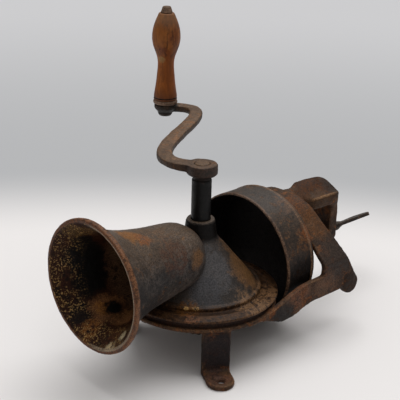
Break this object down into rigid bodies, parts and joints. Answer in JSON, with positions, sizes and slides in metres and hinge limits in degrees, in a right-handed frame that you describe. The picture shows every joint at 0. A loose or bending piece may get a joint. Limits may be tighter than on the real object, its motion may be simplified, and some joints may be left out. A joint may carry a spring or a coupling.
{
  "type": "manual coffee grinder",
  "caption": "Hand cranked cast iron coffee mill with a bell hopper, cone housing, curved crank with turned wooden grip, receiving cup and bench clamp.",
  "frame": {"origin": "on the crank axis, in the plane of the wall lugs' undersides", "axes": "+Z along the crank axis from the wall face to the crank, +X from the crank axis towards the cup and the bench clamp, hopper on the -X side"},
  "size_m": [0.3079, 0.2091, 0.2278],
  "materials": {
    "frame_iron": "brown rusted casting, satin",
    "housing_iron": "black worn casting with rust at the edges",
    "hopper_iron": "dark worn casting, speckled rust inside",
    "cup_iron": "dark worn sheet with rust at the lip",
    "crank_iron": "rust brown forged iron",
    "ferrule_iron": "rust brown turned ring",
    "shaft_steel": "black oiled shaft",
    "clamp_iron": "dark brown forged iron",
    "screw_steel": "tarnished steel",
    "mill_steel": "worn grey iron",
    "bush_metal": "worn iron bearing bush",
    "grip_wood": "oiled turned hardwood, worn"
  },
  "bodies": {
    "frame": {"base_frame": "frame_iron", "housing": "housing_iron", "hopper": "hopper_iron", "front_bush": "bush_metal", "rear_bush": "bush_metal", "housing_screws": "screw_steel", "fixed_burr": "mill_steel", "burr_screws": "screw_steel", "lock_nut": "screw_steel"},
    "crank": {"shaft": "shaft_steel", "feed_worm": "mill_steel", "drive_pins": "mill_steel", "rotating_burr": "mill_steel", "crank_arm": "crank_iron", "grip_spindle": "crank_iron"},
    "grip": {"grip": "grip_wood", "grip_ferrule": "ferrule_iron"},
    "cup": {"receiving_cup": "cup_iron"},
    "clamp_pad": {"clamp_pad": "clamp_iron"},
    "clamp_screw": {"clamp_screw": "clamp_iron"},
    "adjuster": {"adjusting_screw": "screw_steel"}
  },
  "joints": [
    {"name": "crank_turn", "type": "hinge", "parent": "frame", "child": "crank", "pos_m": [0, 0, 0.1], "axis": [0, 0, 1], "continuous": true},
    {"name": "grip_spin", "type": "hinge", "parent": "crank", "child": "grip", "pos_m": [0.07949, 0.12721, 0.15], "axis": [0, 0, 1], "continuous": true},
    {"name": "cup_lift", "type": "slide", "parent": "frame", "child": "cup", "axis": [0, 0, 1], "range_m": [0, 0.028]},
    {"name": "pad_travel", "type": "slide", "parent": "frame", "child": "clamp_pad", "axis": [1, 0, 0], "range_m": [-0.0115, 0.003]},
    {"name": "screw_turn", "type": "hinge", "parent": "clamp_pad", "child": "clamp_screw", "pos_m": [0.15, 0, 0.0505], "axis": [1, 0, 0], "range_deg": [-2074, 544]},
    {"name": "adjuster_turn", "type": "hinge", "parent": "frame", "child": "adjuster", "pos_m": [0, 0, 0.015], "axis": [0, 0, 1], "range_deg": [-180, 180]}
  ],
  "couplings": [
    {"joint": "screw_turn", "follows": "pad_travel", "rad_per_m": 3141.6}
  ]
}
